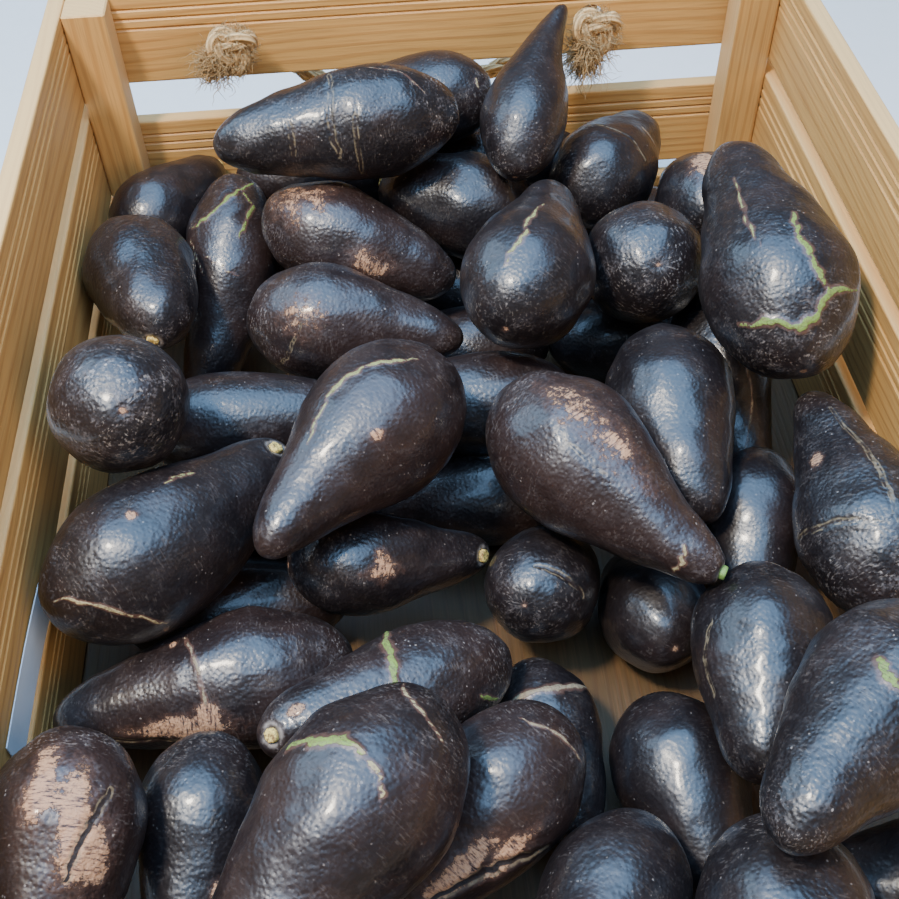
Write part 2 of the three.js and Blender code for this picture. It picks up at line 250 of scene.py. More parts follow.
def skin_material():
    """The skin reads what make_avocado stored: where each kind of mark is, wear, tone and tips."""
    n = Nodes("avocado_skin")
    place = n.place()
    ripple = n.noise(place, 260.0, 4.0)
    grit = n.noise(place, 900.0, 3.0)
    patch = n.noise(place, 45.0, 5.0, 0.6)
    # The ground colour drifts from blue-black to brown.
    brown = n.step(n.plus(patch, n.value("tone")), 0.38, 0.90)
    colour = n.mix(brown, SKIN_BLACK, SKIN_BROWN)
    colour, scuff = add_scuffs(n, place, grit, colour)
    colour, scab, crazing = add_scabs(n, place, colour)
    # Dark creases with a pale lip on each side.
    crease = n.value("crease")
    lip = n.times(n.step(crease, -0.5, -0.1), n.step(crease, 0.45, 0.20),
                  n.step(ripple, 0.35, 0.6))
    colour = n.mix(n.times(lip, 0.55), colour, CRACK_CORK)
    colour = n.mix(n.step(crease, 0.20, 0.50), colour, SCAB_CRACK)
    colour, crack = add_cracks(n, place, grit, colour)
    # The pale rim of the pit round a stem.
    colour = n.mix(n.times(n.value("rim"), n.step(ripple, 0.3, 0.6)), colour, LENTICEL)
    # Worn skin is duller, and cork is dull.
    wear = n.value("wear")
    gloss = n.plus(0.22, n.times(patch, 0.24), n.times(wear, 0.07), n.times(scuff, 0.3))
    dull = n.math("MAXIMUM", scab, crack)
    rough = n.math("ADD", gloss, n.times(dull, 0.42), clamp=True)
    # Pebbled skin under a slow ripple, and bark where the skin is corky.
    coarse = n.plus(n.times(wear, 0.8), 0.35)
    pebbles = n.bump(n.times(n.cells(place, 640.0, "SMOOTH_F1"), coarse), 0.40 * MM, 0.7)
    rippled = n.bump(n.times(ripple, coarse), 0.42 * MM, 0.5, pebbles)
    corky = n.math("MAXIMUM", scab, n.times(crack, 0.6))
    bark = n.times(n.math("SUBTRACT", grit, crazing), corky)
    normal = n.bump(bark, 0.7 * MM, 0.8, rippled)
    n.surface(Base_Color=colour, Roughness=rough, Normal=normal, Specular_IOR_Level=0.6,
              Coat_Weight=0.25, Coat_Roughness=0.12)
    return n.material


def add_scuffs(n, place, grit, colour):
    """Silvery scuffs, streaks round the fruit and pale pinprick lenticels."""
    wear = n.value("wear")
    worn = n.times(wear, n.plus(n.value("tip"), 0.30), clamp=True)
    scuff = n.times(n.step(n.noise(place, 130.0, 9.0, 0.75), 0.47, 0.66), worn,
                    n.step(grit, 0.40, 0.60))
    colour = n.mix(n.times(scuff, 0.38), colour, SKIN_SILVER)
    rings = n.noise(n.vector("band"), 1300.0, 3.0, 0.6)
    ringed = n.step(n.noise(place, 90.0, 5.0, 0.6), 0.42, 0.56)
    streaks = n.times(n.step(rings, 0.56, 0.64), ringed, worn)
    colour = n.mix(n.times(streaks, 0.34), colour, LENTICEL)
    ragged_cells = n.plus(n.cells(place, 360.0), n.around(grit, 0.45))
    dots = n.times(n.step(ragged_cells, 0.20, 0.08),
                   n.step(n.noise(place, 140.0, 3.0), 0.53, 0.64),
                   n.plus(n.times(wear, 0.42), 0.10))
    return n.mix(dots, colour, LENTICEL), scuff


def add_scabs(n, place, colour):
    """Corky scabs: a ragged patch with fine lines across the fruit and a few dark breaks."""
    tatter = n.math("SUBTRACT", n.noise(place, 120.0, 9.0, 0.8), 0.5)
    ragged = n.plus(n.value("scab"), n.times(tatter, 4.6))
    scab = n.step(ragged, 0.22, 0.40)
    lines = n.noise(n.vector("rung"), 1.0, 4.0, 0.65)
    crazing = n.step(n.plus(lines, n.times(tatter, -0.5)), 0.40, 0.30)
    cork = n.mix(n.step(lines, 0.36, 0.56), SCAB_BROWN, SCAB_PINK)
    cork = n.mix(n.times(crazing, 0.85), cork, SCAB_CRACK)
    colour = n.mix(n.times(n.step(ragged, -0.5, 0.3), 0.35), colour, SCAB_BROWN)
    return n.mix(scab, colour, cork), scab, crazing


def add_cracks(n, place, grit, colour):
    """Healed cracks, from cork through cream to green."""
    level = n.plus(n.value("crack"), n.around(n.noise(place, 420.0, 3.0, 0.6), 0.9))
    colour = n.mix(n.times(n.step(level, -0.9, 0.0), 0.6), colour, SCAB_BROWN)
    crack = n.step(level, 0.15, 0.42)
    tint = n.value("tint")
    healed = n.mix(n.step(tint, CORK, CREAM), CRACK_CORK, CRACK_CREAM)
    healed = n.mix(n.step(tint, CREAM, GREEN), healed, CRACK_GREEN)
    healed = n.mix(n.times(n.step(grit, 0.42, 0.66), 0.45), healed, SCAB_BROWN)
    return n.mix(crack, colour, healed), crack


def stem_material():
    n = Nodes("stem_wood")
    place = n.place()
    grain = n.noise(place, 900.0, 4.0)
    colour = n.mix(n.step(grain, 0.40, 0.65), STEM_YELLOW, STEM_CORE)
    normal = n.bump(grain, 0.5 * MM, 0.8)
    n.surface(Base_Color=colour, Roughness=0.8, Normal=normal)
    return n.material


def pine_material(name, painted_shade=1.0):
    """Growth rings round a far pith, seen on the faces as grain, with a few knots."""
    # The factor darkens every colour: painted shade, used for the floor panel's upward face.
    early, late_wood, sawn_wood = (tuple(painted_shade * c for c in colour)
                                   for colour in (PINE_EARLY, PINE_LATE, PINE_SAWN))
    n = Nodes(name)
    # The grain gives a point's place along the board, across it and into it, from the pith.
    grain = n.vector("grain")
    flow = n.stretch(grain, (2.5, 14.0, 14.0))
    fibre = n.stretch(grain, (35.0, 900.0, 900.0))
    # Knots: a few of the cells in a coarse grid, which pull the rings round them.
    knot_place = n.stretch(grain, (10.0, 22.0, 6.0))
    knot_far = n.cells(knot_place, 1.0)
    few = n.add("ShaderNodeSeparateColor", {0: n.cells(knot_place, 1.0, output="Color")})
    present = n.step(few, 0.80, 0.81)
    knot_pull = n.times(n.step(knot_far, 0.42, 0.05), present)
    # Rings.
    reach = n.add("ShaderNodeVectorMath", {0: n.stretch(grain, (0.0, 1.0, 1.5))}, 1,
                  operation="LENGTH")
    radius = n.plus(reach, n.times(n.noise(flow, 1.0, 2.0), 0.035), n.times(knot_pull, 0.012))
    late = n.step(n.math("SINE", n.times(radius, 2 * math.pi / RING_SPACING)), 0.1, 1.0)
    colour = n.mix(n.times(late, 0.5), early, late_wood)
    stain = n.noise(flow, 3.0, 4.0, 0.6)
    colour = n.mix(n.times(n.step(stain, 0.45, 0.8), 0.45), colour, late_wood)
    colour = n.mix(n.times(n.step(n.noise(fibre, 1.0, 2.0), 0.45, 0.75), 0.25), colour, PINE_KNOT)
    sawn = n.value("sawn")
    colour = n.mix(n.times(sawn, 0.6), colour, sawn_wood)
    knot = n.times(n.step(knot_far, 0.15, 0.09), present)
    colour = n.mix(n.times(knot, 0.85), colour, PINE_KNOT)
    normal = n.bump(n.plus(n.times(late, 0.4), n.noise(fibre, 1.0, 3.0)), 0.25 * MM, 0.5)
    n.surface(Base_Color=colour, Roughness=n.plus(0.56, n.times(sawn, 0.25)), Normal=normal)
    return n.material


def jute_material():
    n = Nodes("jute_rope")
    place = n.place()
    yarn = n.math("SINE", n.plus(n.value("yarn"), n.noise(place, 300.0, 2.0)))
    relief = n.plus(yarn, n.noise(place, 700.0, 4.0))
    # The colour follows the relief: darker in the low grooves between the yarns, partly the fibres'
    # own colour and partly painted shade.
    colour = n.mix(n.step(relief, -0.4, 1.5), JUTE_DARK, JUTE_PALE)
    normal = n.bump(relief, 0.4 * MM, 0.7)
    n.surface(Base_Color=colour, Roughness=0.93, Normal=normal)
    return n.material


def plain_material(name, colour, rough, metallic=0.0, mottle=0.06):
    """A colour with a slight mottle."""
    n = Nodes(name)
    darker = tuple(c * (1 - 4 * mottle) for c in colour)
    mottled = n.mix(n.step(n.noise(n.place(), 60.0, 4.0), 0.35, 0.75), colour, darker)
    n.surface(Base_Color=mottled, Roughness=rough, Metallic=metallic)
    return n.material


# ---------------------------------------------------------------- rope handles
ROPE_RADIUS = 5 * MM
STRANDS = 3
STRAND_RADIUS = 2.5 * MM
STRAND_OFFSET = 2.7 * MM
STRAND_PITCH = 34 * MM
STRAND_SIDES = 10
YARN_TURNS = 5
YARN_PITCH = 9 * MM
ROUTE_STEPS = 8
KNOT_REACH = 11.3 * MM
KNOT_STEPS = 72
ROPE_FUZZ, KNOT_FUZZ, TAIL_FIBRES = 240, 800, 620
HAIR_STEPS = 6
# The route of the back handle: out of one hole, down in a loop and back in at the other.
ROPE_ROUTE = [(-0.110, 0.272, 0.156), (-0.110, 0.291, 0.156), (-0.110, 0.303, 0.156),
              (-0.101, 0.314, 0.147), (-0.065, 0.314, 0.117), (-0.0095, 0.314, 0.104),
              (0.046, 0.314, 0.117), (0.082, 0.314, 0.147), (0.091, 0.303, 0.156),
              (0.091, 0.291, 0.156), (0.091, 0.272, 0.156)]
# Each knot: name, which end of the route, how far it sits off it in X and Z, the way its tail
# points and the tail's length.
KNOTS = [("a", 0, (4 * MM, 5 * MM), (-0.85, -0.2, -0.5), 18 * MM),
         ("b", -1, (0, 2 * MM), (-0.45, -0.35, -0.8), 27 * MM)]


def smooth_route(points, steps):
    """A centripetal Catmull-Rom curve through the points, as in the CAD model."""
    points = [np.array(p, float) for p in points]
    ends = [2 * points[0] - points[1], *points, 2 * points[-1] - points[-2]]
    route = []
    for p0, p1, p2, p3 in zip(ends, ends[1:], ends[2:], ends[3:]):
        t1 = np.linalg.norm(p1 - p0) ** 0.5
        t2 = t1 + np.linalg.norm(p2 - p1) ** 0.5
        t3 = t2 + np.linalg.norm(p3 - p2) ** 0.5
        for t in np.linspace(t1, t2, steps, endpoint=False):
            a1 = ((t1 - t) * p0 + t * p1) / t1
            a2 = ((t2 - t) * p1 + (t - t1) * p2) / (t2 - t1)
            a3 = ((t3 - t) * p2 + (t - t2) * p3) / (t3 - t2)
            b1 = ((t2 - t) * a1 + t * a2) / t2
            b2 = ((t3 - t) * a2 + (t - t1) * a3) / (t3 - t1)
            route.append(((t2 - t) * b1 + (t - t1) * b2) / (t2 - t1))
    return np.array([*route, points[-1]])


def frames_along(route):
    """Two directions across the route at each point, carried along it without twisting."""
    ahead = np.gradient(route, axis=0)
    ahead /= np.linalg.norm(ahead, axis=1)[:, None]
    side = np.cross(ahead[0], (0.1, 0.2, 1.0))
    sides = []
    for direction in ahead:
        side = side - direction * (side @ direction)
        side /= np.linalg.norm(side)
        sides.append(side)
    sides = np.array(sides)
    return sides, np.cross(ahead, sides)


def add_tube(vertices, faces, route, radii, sides_count):
    """A capped tube round a route; returns how far round each of its vertices is."""
    first = len(vertices)
    across, up = frames_along(route)
    turns = np.arange(sides_count) * 2 * math.pi / sides_count
    for point, a, b, radius in zip(route, across, up, radii):
        vertices.extend(point + radius * (math.cos(t) * a + math.sin(t) * b) for t in turns)
    faces += stack_faces(first, len(route), sides_count)
    return np.tile(turns, len(route))


def add_twisted_rope(vertices, faces, yarn, route):
    """Three strands laid round the route."""
    across, up = frames_along(route)
    lengths = np.concatenate([[0], np.cumsum(np.linalg.norm(np.diff(route, axis=0), axis=1))])
    for strand in range(STRANDS):
        turn = 2 * math.pi * (lengths / STRAND_PITCH + strand / STRANDS)
        offset = np.cos(turn)[:, None] * across + np.sin(turn)[:, None] * up
        round_it = add_tube(vertices, faces, route + STRAND_OFFSET * offset,
                            [STRAND_RADIUS] * len(route), STRAND_SIDES)
        spiral = np.repeat(lengths, STRAND_SIDES) * 2 * math.pi / YARN_PITCH
        yarn.extend(YARN_TURNS * round_it + spiral)


def add_hair(vertices, faces, yarn, rng, root, direction, length, radius, droop, curl=0.3):
    """One thin fibre that wanders and droops."""
    point = np.array(root, float)
    heading = np.array(direction, float)
    route = [point]
    for _ in range(HAIR_STEPS):
        heading = heading + np.array([rng.uniform(-curl, curl) for _ in range(3)])
        heading[2] -= droop
        heading /= np.linalg.norm(heading)
        point = point + heading * length / HAIR_STEPS
        route.append(point)
    radii = [radius * (1 - 0.8 * i / HAIR_STEPS) for i in range(HAIR_STEPS + 1)]
    yarn.extend(add_tube(vertices, faces, np.array(route), radii, 3))


def random_direction(rng):
    way = np.array([rng.gauss(0, 1) for _ in range(3)])
    return way / np.linalg.norm(way)


def make_knot(name, rng, centre, facing, tail, tail_length, jute):
    """An overhand knot with a frayed tail. The rope runs through it along facing, +1 or -1 in Y."""
    vertices, faces, yarn = [], [], []
    t = np.linspace(0, 2 * math.pi, KNOT_STEPS)
    trefoil = np.stack([np.sin(t) + 2 * np.sin(2 * t), 0.85 * facing * np.sin(3 * t),
                        np.cos(t) - 2 * np.cos(2 * t)], axis=1)
    route = np.array(centre) + trefoil * (KNOT_REACH - ROPE_RADIUS * 0.2) / 3
    add_twisted_rope(vertices, faces, yarn, route)
    tail = np.array(tail, float) / np.linalg.norm(tail)
    for _ in range(TAIL_FIBRES):
        spread = np.array([rng.gauss(0, 0.24) for _ in range(3)])
        start = np.array(centre) + tail * rng.uniform(6, 13) * MM + spread * 15 * MM
        add_hair(vertices, faces, yarn, rng, start, tail + 0.5 * spread,
                 tail_length * rng.uniform(0.3, 0.85), 0.34 * MM, 0.04, 0.75)
    for _ in range(KNOT_FUZZ):
        away = random_direction(rng)
        across = np.cross(away, [rng.gauss(0, 1) for _ in range(3)])
        add_hair(vertices, faces, yarn, rng, np.array(centre) + away * rng.uniform(9, 14) * MM,
                 0.4 * away + across, rng.uniform(3, 7) * MM, 0.20 * MM, 0.08, 0.5)
    knot = new_object(name, vertices, faces)
    set_values(knot.data, "yarn", yarn)
    return finish_piece(knot, jute, "jute_rope")


def make_rope_handle(end, turn, jute):
    """One handle; turn is +1 at the back and -1 at the front, half a turn round the crate."""
    rng = random.Random(11 + turn)
    route = smooth_route([(turn * x, turn * y, z) for x, y, z in ROPE_ROUTE], ROUTE_STEPS)
    vertices, faces, yarn = [], [], []
    add_twisted_rope(vertices, faces, yarn, route)
    for _ in range(ROPE_FUZZ):
        at = route[rng.randrange(4, len(route) - 4)]
        away = random_direction(rng)
        add_hair(vertices, faces, yarn, rng, at + away * 4.2 * MM, away,
                 rng.uniform(1.0, 2.4) * MM, 0.12 * MM, 0.1)
    rope = new_object(f"rope_{end}", vertices, faces)
    set_values(rope.data, "yarn", yarn)
    finish_piece(rope, jute, "jute_rope", f"rope_handle_{end}")
    for side, spot, aside, tail, tail_length in KNOTS:
        tail = (turn * tail[0], turn * tail[1], tail[2])
        centre = route[spot] + np.array([turn * aside[0], 0, aside[1]])
        make_knot(f"knot_{end}_{side}", rng, centre, turn, tail, tail_length, jute)


# ---------------------------------------------------------------- crate
GROOVES_FROM_TOP = [9 * MM, 14.5 * MM, 20 * MM]
GROOVE_HALF_WIDTH = 1.1 * MM
GROOVE_DEPTH = 1.1 * MM
CORNER = 1.3 * MM
END_INSET = 0.8 * MM
BOARD_STEP = 20 * MM
WAVER = 0.12 * MM
ROPE_HOLE_RADIUS = 7.5 * MM
DRILL_LENGTH = 60 * MM
SAWN_EDGE = 0.4 * MM
FACING_UP = 0.9
NAIL_RADIUS = 3.0 * MM
NAIL_PROUD = 0.6 * MM
NAIL_SIDES = 12
NAIL_SHARES = (0.25, 0.75)
# A nail head's rings, as shares of its radius and of how far it stands proud.
NAIL_PROFILE = ((1.0, -0.4), (1.0, 0.4), (0.8, 0.85), (0.4, 1.0))
# How far the middle of a post is from the inner faces of the crate.
POST_MIDDLE_X = 11 * MM
POST_MIDDLE_Y = 10 * MM
CARD_LENGTH, CARD_HEIGHT, CARD_THICK = 82 * MM, 19 * MM, 0.5 * MM
CARD_Y = -50 * MM
CARD_STEPS = 12
X, Y, Z = 0, 1, 2
LEVELS = ("top", "middle", "bottom")


def board_outline(width, thick, grooved):
    """The board's cross section as (across, depth) pairs, with rounded corners."""
    outline = []
    for across, depth, start in [(CORNER, CORNER, 180), (width - CORNER, CORNER, 270),
                                 (width - CORNER, thick - CORNER, 0), (CORNER, thick - CORNER, 90)]:
        if grooved and start == 90:
            for drop in GROOVES_FROM_TOP:
                middle = width - drop
                outline.append((middle + GROOVE_HALF_WIDTH, thick))
                outline.append((middle, thick - GROOVE_DEPTH))
                outline.append((middle - GROOVE_HALF_WIDTH, thick))
        for bend in (0, 30, 60, 90):
            angle = math.radians(start + bend)
            outline.append((across + CORNER * math.cos(angle), depth + CORNER * math.sin(angle)))
    return outline


def make_board(node, along, across, inner_sign, grooved, pine, rng, holes=()):
    """A board that fills its CAD box. Its inner face looks along the third axis, by inner_sign."""
    low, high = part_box(node)
    through = 3 - along - across
    size = high - low
    outline = board_outline(size[across], size[through], grooved)
    count = max(2, round(size[along] / BOARD_STEP))
    stations = [0.0, END_INSET, *[size[along] * i / count for i in range(1, count)],
                size[along] - END_INSET, size[along]]
    vertices = []
    for station in stations:
        inset = END_INSET if station in (0.0, size[along]) else 0.0
        shift = rng.uniform(-WAVER, 0)
        for a, d in outline:
            a = min(max(a, inset), size[across] - inset)
            d = min(max(d, inset), size[through] - inset)
            point = [0.0, 0.0, 0.0]
            point[along] = low[along] + station
            point[across] = low[across] + a
            face = high[through] if inner_sign > 0 else low[through]
            point[through] = face - inner_sign * (size[through] - d - shift * d / size[through])
            vertices.append(point)
    faces = stack_faces(0, len(stations), len(outline))
    board = new_object(f"{node}_wood", vertices, faces, smooth=False)
    rebuilt = bmesh.new()
    rebuilt.from_mesh(board.data)
    bmesh.ops.recalc_face_normals(rebuilt, faces=rebuilt.faces)
    rebuilt.to_mesh(board.data)
    rebuilt.free()
    for x in holes:
        drill_hole(board, (x, (low.y + high.y) / 2, ROPE_ROUTE[0][2]))
    finish_grain(board, low, size, along, across, through, rng)
    return finish_piece(board, pine, "pine", node)


def drill_hole(board, place):
    bpy.ops.mesh.primitive_cylinder_add(vertices=32, radius=ROPE_HOLE_RADIUS, depth=DRILL_LENGTH,
                                        location=place, rotation=(math.pi / 2, 0, 0))
    drill = bpy.context.object
    cut = board.modifiers.new("hole", "BOOLEAN")
    cut.operation = "DIFFERENCE"
    cut.object = drill
    cut.solver = "EXACT"
    apply_modifiers(board)
    bpy.data.objects.remove(drill)


def finish_grain(board, low, size, along, across, through, rng):
    """Where each vertex lies in the tree that the board was cut from, and what was sawn."""
    mesh = board.data
    places = np.empty(len(mesh.vertices) * 3)
    mesh.vertices.foreach_get("co", places)
    places = places.reshape(-1, 3) - np.array(low)
    pith = (rng.uniform(0.2, 9.0), rng.uniform(0.03, 0.09), rng.uniform(0.01, 0.05))
    grain = np.stack([places[:, along] + pith[0], places[:, across] - size[across] / 2 + pith[1],
                      places[:, through] + pith[2]], axis=1)
    set_values(mesh, "grain", grain)
    edge = np.minimum(places[:, across], size[across] - places[:, across])
    end = np.minimum(places[:, along], size[along] - places[:, along])
    set_values(mesh, "sawn", np.minimum(edge, end) < SAWN_EDGE)


def make_crate(pine, panel, metal):
    rng = random.Random(5)
    for side, inner in (("left", 1), ("right", -1)):
        for level in LEVELS:
            make_board(f"side_board_{side}_{level}", Y, Z, inner, True, pine, rng)
    for end, inner in (("back", -1), ("front", 1)):
        for level in LEVELS:
            ends = (ROPE_ROUTE[0], ROPE_ROUTE[-1]) if level == "top" else ()
            holes = [-inner * x for x, _, _ in ends]
            make_board(f"end_board_{end}_{level}", X, Z, inner, True, pine, rng, holes)
        for side in ("left", "right"):
            make_board(f"post_{end}_{side}", Z, X, inner, False, pine, rng)
    base = make_board("floor_panel", Y, X, 1, False, pine, rng)
    # The panel's upward faces take the darkened pine, painted shade under the fruit.
    base.data.materials.append(panel)
    for face in base.data.polygons:
        face.material_index = int(face.normal.z > FACING_UP)
    make_nails(metal)


def make_nails(metal):
    """Two nail heads in each board over each post, seen from outside."""
    vertices, faces = [], []
    # Each wall: its boards, the axis it looks along and which way, and how far out the posts are.
    for wall, axis, way, reach in (("side_board_left", X, -1, INNER_Y - POST_MIDDLE_Y),
                                   ("side_board_right", X, 1, INNER_Y - POST_MIDDLE_Y),
                                   ("end_board_front", Y, -1, INNER_X - POST_MIDDLE_X),
                                   ("end_board_back", Y, 1, INNER_X - POST_MIDDLE_X)):
        for level in LEVELS:
            low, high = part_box(f"{wall}_{level}")
            for share in NAIL_SHARES:
                place = low.lerp(high, share)
                place[axis] = low[axis] if way < 0 else high[axis]
                for along in (-reach, reach):
                    place[1 - axis] = along
                    add_nail(vertices, faces, place, axis, way)
    nails = new_object("nail_heads", vertices, faces)
    finish_piece(nails, metal, "pine")


def add_nail(vertices, faces, place, axis, way):
    """A low dome on the wood."""
    out = Vector()
    out[axis] = way
    side = out.cross(Vector((0, 0, 1)))
    up = out.cross(side)
    faces += stack_faces(len(vertices), len(NAIL_PROFILE), NAIL_SIDES)
    for radius, height in NAIL_PROFILE:
        for i in range(NAIL_SIDES):
            angle = 2 * math.pi * i / NAIL_SIDES
            ray = side * math.cos(angle) + up * math.sin(angle)
            vertices.append(place + ray * radius * NAIL_RADIUS + out * height * NAIL_PROUD)


def make_card(material):
    """A blank card stapled inside the left wall, coming away from it at one end."""
    low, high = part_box("side_board_left_middle")
    z = low.z + CARD_HEIGHT / 2 - 1 * MM
    vertices = []
    for i in range(CARD_STEPS + 1):
        share = i / CARD_STEPS
        lift = (0.6 + 2.0 * share ** 3) * MM
        y = CARD_Y + (share - 0.5) * CARD_LENGTH
        for side, top in ((0, -1), (0, 1), (1, 1), (1, -1)):
            vertices.append((high.x + lift + side * CARD_THICK, y, z + top * CARD_HEIGHT / 2))
    card = new_object("label_card", vertices, stack_faces(0, CARD_STEPS + 1, 4), smooth=False)
    finish_piece(card, material, "pine")


# ---------------------------------------------------------------- avocados
SIDES = 10
FINE_ROWS, FINE_COLUMNS = 132, 110
PLAIN_ROWS, PLAIN_COLUMNS = 84, 72
SCAB_SPREAD = 1.35 * MM
SCAB_STRENGTH = {"scab": 1.5, "thin scab": 0.5}
SCAB_HEIGHT = 0.20 * MM
MARK_STEPS = 9
# How far a line mark wanders, as shares of the fruit's length and of half a turn.
MARK_WANDER = np.array([0.0030, 0.0055])
# How high each part of a crack or a crease stands or sinks, as a share of the mark's width.
WELT_HEIGHT, MOAT_DEPTH = 0.14, 0.05
LIP_HEIGHT, CREASE_DEPTH = 0.18, 0.24
# The size and the depth of the gentle lumps on every fruit.
LUMPS = [(26 * MM, 0.50 * MM), (11 * MM, 0.12 * MM), (5 * MM, 0.022 * MM)]
SKIN_INSET = 0.15 * MM
# The signed angle of an edge, in radians, below which it is a valley between two buried fruit.
SHARP_VALLEY = -0.25
# Where the stem is on a fruit whose marks don't say, and a stem's rings from its root up as
# (radius, height) in mm.
USUAL_STEM = (0.999, 0)
STEM_PROFILE = ((2.9, -3.5), (3.0, -1.0), (2.9, 0.2), (2.5, 0.7), (1.4, 0.5))
STEM_SIDES = 16
# What the skin stores where nothing marks it.
UNMARKED = -4.0
CLEAR_SKIN = {"crack": UNMARKED, "tint": 0.0, "crease": UNMARKED, "scab": UNMARKED, "rim": 0.0}

# What marks each numbered fruit. A place on the skin is (u, turn): u runs from the blossom end (0)
# to the stem end (1), and turn is in degrees round the fruit from its upper side.
# A crack is ("crack", width in mm, tint, places), a crease is ("crease", width in mm, places), a
# scab is ("scab", length and breadth in mm, place), thin where it has broken up into streaks, and
# a stem is ("stem", place).
MARKS = {
    2: [("stem", (0.98, 120))],
    3: [
        ("crack", 2.4, GREEN, [(0.05, -60), (0.11, -21), (0.17, 0), (0.25, 25), (0.28, 46)]),
        ("crack", 2.2, GREEN, [(0.11, -21), (0.18, -36), (0.26, -27), (0.33, -19)]),
        ("crack", 1.5, CREAM, [(0.32, 47), (0.41, 32), (0.49, 19)]),
        ("crack", 1.3, CREAM, [(0.40, 23), (0.45, -2), (0.49, -27)]),
    ],
    4: [
        ("crease", 2.6, [(0.50, 10), (0.52, -30), (0.53, -70), (0.51, -90)]),
        ("crease", 2.2, [(0.42, -39), (0.44, -62), (0.43, -118)]),
        ("crease", 2.3, [(0.69, -40), (0.69, -90)]),
        ("crack", 1.2, CORK, [(0.37, 13), (0.24, -1), (0.14, -30)]),
    ],
    5: [("crack", 1.5, CREAM, [(0.08, -19), (0.06, -40)])],
    8: [
        ("thin scab", 24, 20, (0.17, 14)),
        ("thin scab", 18, 10, (0.60, 60)),
    ],
    9: [("crack", 2.3, OLIVE, [(0.54, 3), (0.36, -2), (0.23, -4), (0.14, -14)])],
    10: [
        ("thin scab", 16, 16, (0.30, 40)),
        ("crease", 1.5, [(0.30, 50), (0.24, 80), (0.17, 108)]),
    ],
    11: [
        ("crack", 2.2, CORK, [(0.64, 26), (0.67, 61)]),
        ("crease", 1.6, [(0.42, -40), (0.41, -10), (0.43, 27), (0.41, 55)]),
    ],
    12: [("scab", 20, 13, (0.26, -9))],
    14: [("crease", 1.3, [(0.45, -60), (0.41, -25), (0.42, 15)])],
    15: [
        ("crack", 1.9, OLIVE, [(0.72, -33), (0.52, -32), (0.33, -29)]),
        ("crack", 3.4, GREEN, [(0.47, 4), (0.34, 1), (0.24, 8), (0.17, 15)]),
        ("crack", 3.8, GREEN, [(0.21, 55), (0.15, 16), (0.10, 6), (0.08, -15), (0.11, -38),
                               (0.15, -69)]),
    ],
    17: [("crack", 1.2, CORK, [(0.38, -7), (0.62, -20), (0.86, 18)])],
    18: [
        ("thin scab", 30, 13, (0.34, 2)),
        ("thin scab", 34, 13, (0.50, -3)),
        ("scab", 13, 5, (0.51, -4)),
        ("crease", 1.6, [(0.33, 24), (0.45, 27), (0.57, 25)]),
        ("crack", 1.9, CREAM, [(0.87, 20), (0.90, 55), (0.89, 90)]),
        ("green stem", (0.995, -90)),
    ],
    21: [
        ("stem", (0.93, 8)),
        ("crack", 2.0, OLIVE, [(0.49, -2), (0.56, -6), (0.61, -3)]),
        ("crack", 1.8, CREAM, [(0.03, 20), (0.12, 57), (0.28, 97)]),
        ("scab", 4, 4, (0.34, 7)),
    ],
    22: [
        ("crack", 2.3, OLIVE, [(0.20, -14), (0.27, -4), (0.36, 9), (0.47, 18), (0.57, 17),
                               (0.67, 12)]),
        ("scab", 5, 4, (0.51, -36)),
    ],
    23: [
        ("stem", (0.945, 45)),
        ("thin scab", 14, 6, (0.40, 47)),
        ("thin scab", 6, 12, (0.39, 43)),
    ],
    27: [("crease", 2.0, [(0.09, -4), (0.12, 33), (0.19, 71)])],
    29: [
        ("crack", 2.0, CORK, [(0.54, 28), (0.50, -16), (0.49, -57)]),
        ("scab", 34, 9, (0.57, -69)),
        ("scab", 12, 10, (0.49, -60)),
        ("scab", 3, 3, (0.58, 24)),
        ("crease", 1.6, [(0.97, -53), (0.84, -77), (0.63, -86), (0.45, -84)]),
    ],
    30: [
        ("stem", (0.975, -26)),
        ("crack", 4.0, GREEN, [(0.44, 55), (0.51, 12), (0.55, -25)]),
        ("scab", 6, 4, (0.88, -3)),
        ("crack", 2.4, GREEN, [(0.25, -60), (0.16, -80)]),
    ],
    31: [
        ("crack", 4.0, GREEN, [(0.38, 47), (0.34, 30), (0.30, 12), (0.29, 2)]),
        ("crack", 2.0, CREAM, [(0.29, 6), (0.29, -6), (0.32, -22), (0.37, -30)]),
        ("crack", 1.7, CREAM, [(0.05, 40), (0.09, 0), (0.13, -43)]),
    ],
    32: [
        ("scab", 38, 8, (0.76, -34)),
        ("scab", 20, 7, (0.56, -56)),
        ("crease", 3.4, [(0.43, -82), (0.55, -66), (0.67, -53), (0.90, -34)]),
        ("crack", 1.6, CORK, [(0.15, 17), (0.10, -27), (0.11, -75)]),
    ],
    33: [("crack", 3.8, CORK, [(0.32, 45), (0.32, -6), (0.28, -60)])],
    34: [
        ("scab", 26, 9, (0.30, 2)),
        ("scab", 34, 10, (0.42, -22)),
        ("scab", 20, 14, (0.56, -36)),
        ("crease", 2.6, [(0.30, -48), (0.48, -32), (0.66, -27)]),
    ],
    35: [
        ("crease", 3.0, [(0.32, -62), (0.42, -62)]),
        ("scab", 7, 5, (0.69, -35)),
    ],
    38: [
        ("crack", 1.3, CORK, [(0.05, 10), (0.12, -53), (0.25, -85)]),
        ("crease", 1.5, [(0.39, 54), (0.54, 65), (0.70, 67)]),
    ],
    39: [("crack", 4.0, GREEN, [(0.46, 14), (0.50, 2), (0.51, -9)])],
    40: [
        ("crease", 2.0, [(0.35, -90), (0.31, -57), (0.24, -12)]),
        ("crease", 1.8, [(0.83, -7), (0.52, -1), (0.37, -2), (0.23, -4)]),
        ("scab", 8, 5, (0.60, -51)),
    ],
}
